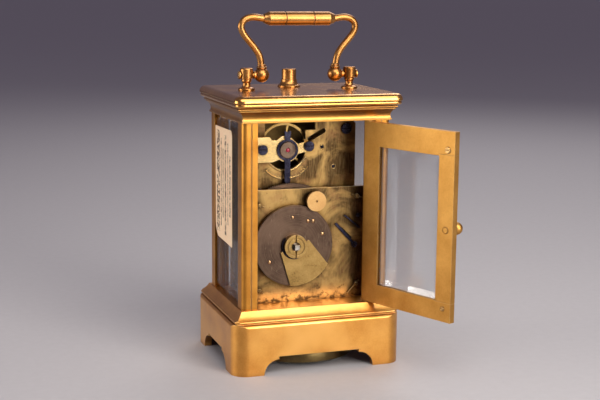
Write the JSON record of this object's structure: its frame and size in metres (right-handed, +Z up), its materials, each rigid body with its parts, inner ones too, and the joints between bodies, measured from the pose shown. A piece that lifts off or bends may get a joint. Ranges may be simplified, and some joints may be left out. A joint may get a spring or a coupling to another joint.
{
  "type": "mantel clock",
  "caption": "Gilt brass carriage clock with bevelled glass panels, a swan-necked carrying handle, a repeat button, a hinged rear door and a spring-driven movement over a bell.",
  "frame": {"origin": "centre of the case's footprint on the shelf, under the middle of the movement; z = 0 is the feet", "axes": "+Z up, dial faces -Y, rear door side is +Y, +X is the side with the paper label (the left-hand side for someone facing the open back)"},
  "size_m": [0.0849, 0.0992, 0.1476],
  "materials": {
    "case_brass": "satin gilt",
    "pillar_brass": "satin gilt, worn orange",
    "top_brass": "polished",
    "handle_brass": "polished",
    "door_brass": "satin",
    "plate_brass": "aged, brushed",
    "cock_brass": "polished",
    "cap_steel": "browned",
    "wheel_brass": "polished",
    "bell_brass": "satin",
    "clear_glass": "clear, bevelled",
    "label_paper": "matt, yellowed",
    "steel": "brushed",
    "disc_steel": "brushed, darkened",
    "blued_steel": "polished and blued",
    "dial_enamel": "glossy"
  },
  "bodies": {
    "case": {"base_plinth": "case_brass", "pillar_rear_left": "pillar_brass", "pillar_rear_right": "pillar_brass", "pillar_front_left": "pillar_brass", "pillar_front_right": "pillar_brass", "cornice_frame": "case_brass", "top_plate": "top_brass", "front_glass": "clear_glass", "side_glass_left": "clear_glass", "side_glass_right": "clear_glass", "paper_label": "label_paper", "case_screws": "steel", "handle_post_left": "handle_brass", "handle_post_right": "handle_brass", "handle_pivots": "handle_brass", "button_ferrule": "handle_brass", "front_plate": "plate_brass", "back_plate": "plate_brass", "repeat_plate": "plate_brass", "plate_pillars": "plate_brass", "plate_screws": "blued_steel", "repeat_plate_pins": "plate_brass", "balance_cock": "cock_brass", "cock_screws": "blued_steel", "cock_cap": "cap_steel", "repeat_springs": "blued_steel", "dial_mask": "door_brass", "dial": "dial_enamel", "bell": "bell_brass", "bell_stand": "steel", "hairspring": "blued_steel"},
    "door": {"door_frame": "door_brass", "door_latch_stile": "door_brass", "door_glass": "clear_glass", "door_knob": "door_brass", "door_screws": "door_brass"},
    "handle": {"handle_bail": "handle_brass", "handle_grip": "handle_brass"},
    "button": {"repeat_button": "handle_brass"},
    "repeat_work": {"repeat_disc": "disc_steel", "disc_sector": "wheel_brass", "disc_collar": "wheel_brass"},
    "setting": {"setting_knob": "wheel_brass"},
    "minute_hand_group": {"centre_arbor": "steel", "minute_hand": "blued_steel"},
    "minute_wheel_group": {"minute_wheel": "wheel_brass"},
    "hour_group": {"hour_wheel": "wheel_brass", "hour_hand": "blued_steel"},
    "barrel_group": {"barrel": "wheel_brass", "mainspring": "blued_steel"},
    "winding": {"winding_arbor": "steel"},
    "click_group": {"click": "steel"},
    "centre": {"centre_wheel": "wheel_brass"},
    "third": {"third_wheel": "wheel_brass"},
    "fourth": {"fourth_wheel": "wheel_brass"},
    "escape": {"escape_wheel": "wheel_brass"},
    "lever": {"pallet_lever": "steel"},
    "balance": {"balance_wheel": "wheel_brass"},
    "index": {"regulator_index": "blued_steel"},
    "hammer": {"strike_hammer": "steel"}
  },
  "joints": [
    {"name": "door_swing", "type": "hinge", "parent": "case", "child": "door", "pos_m": [-0.023, 0.0237, 0.065], "axis": [0, 0, 1], "range_deg": [-113.2, 6.8]},
    {"name": "handle_fold", "type": "hinge", "parent": "case", "child": "handle", "pos_m": [0, 0, 0.1213], "axis": [1, 0, 0], "range_deg": [-95, 95]},
    {"name": "button_push", "type": "slide", "parent": "case", "child": "button", "axis": [0, 0, -1], "range_m": [0, 0.003], "stiffness_N_per_m": 150, "springref_m": -0.004},
    {"name": "repeat_disc_turn", "type": "hinge", "parent": "case", "child": "repeat_work", "pos_m": [0.0072, 0, 0.051], "axis": [0, 1, 0], "range_deg": [0, 10.1]},
    {"name": "hands_turn", "type": "hinge", "parent": "case", "child": "minute_hand_group", "pos_m": [0, 0, 0.066], "axis": [0, 1, 0], "continuous": true},
    {"name": "minute_wheel_turn", "type": "hinge", "parent": "case", "child": "minute_wheel_group", "pos_m": [0.0036, 0, 0.05976], "axis": [0, 1, 0], "continuous": true},
    {"name": "hour_turn", "type": "hinge", "parent": "case", "child": "hour_group", "pos_m": [0, 0, 0.066], "axis": [0, 1, 0], "continuous": true},
    {"name": "setting_turn", "type": "hinge", "parent": "case", "child": "setting", "pos_m": [-0.002, 0, 0.0697], "axis": [0, 1, 0], "continuous": true},
    {"name": "fourth_turn", "type": "hinge", "parent": "case", "child": "fourth", "pos_m": [-0.01337, 0, 0.08248], "axis": [0, 1, 0], "continuous": true},
    {"name": "escape_turn", "type": "hinge", "parent": "case", "child": "escape", "pos_m": [-0.00804, 0, 0.09106], "axis": [0, 1, 0], "continuous": true},
    {"name": "third_turn", "type": "hinge", "parent": "case", "child": "third", "pos_m": [-0.00985, 0, 0.07337], "axis": [0, 1, 0], "continuous": true},
    {"name": "centre_wheel_turn", "type": "hinge", "parent": "case", "child": "centre", "pos_m": [0, 0, 0.066], "axis": [0, 1, 0], "continuous": true},
    {"name": "barrel_turn", "type": "hinge", "parent": "case", "child": "barrel_group", "pos_m": [0.0072, 0, 0.051], "axis": [0, 1, 0], "continuous": true},
    {"name": "winding_turn", "type": "hinge", "parent": "case", "child": "winding", "pos_m": [0.0072, 0, 0.051], "axis": [0, 1, 0], "continuous": true},
    {"name": "click_lift", "type": "hinge", "parent": "case", "child": "click_group", "pos_m": [0.01621, 0, 0.04469], "axis": [0, 1, 0], "range_deg": [-12, 0], "stiffness_Nm_per_rad": 0.002, "springref_deg": 5.73},
    {"name": "pallet_rock", "type": "hinge", "parent": "case", "child": "lever", "pos_m": [-0.0039, 0, 0.0909], "axis": [0, 1, 0], "range_deg": [-5, 5]},
    {"name": "balance_swing", "type": "hinge", "parent": "case", "child": "balance", "pos_m": [0.008, 0, 0.0905], "axis": [0, 1, 0], "range_deg": [-150, 150], "stiffness_Nm_per_rad": 0.000027},
    {"name": "index_turn", "type": "hinge", "parent": "case", "child": "index", "pos_m": [0.008, 0, 0.0905], "axis": [0, 1, 0], "range_deg": [-18, 18]},
    {"name": "hammer_swing", "type": "hinge", "parent": "case", "child": "hammer", "pos_m": [-0.014, 0, 0.036], "axis": [0, 1, 0], "range_deg": [-1, 6], "stiffness_Nm_per_rad": 0.01}
  ],
  "couplings": [
    {"joint": "repeat_disc_turn", "follows": "button_push", "rad_per_m": 58.1},
    {"joint": "minute_wheel_turn", "follows": "hands_turn", "ratio": -0.33333},
    {"joint": "hour_turn", "follows": "hands_turn", "ratio": 0.083333},
    {"joint": "setting_turn", "follows": "hands_turn", "ratio": -1},
    {"joint": "escape_turn", "follows": "fourth_turn", "ratio": -7},
    {"joint": "third_turn", "follows": "fourth_turn", "ratio": -0.16667},
    {"joint": "centre_wheel_turn", "follows": "fourth_turn", "ratio": 0.023148},
    {"joint": "barrel_turn", "follows": "fourth_turn", "ratio": -0.0034722}
  ]
}
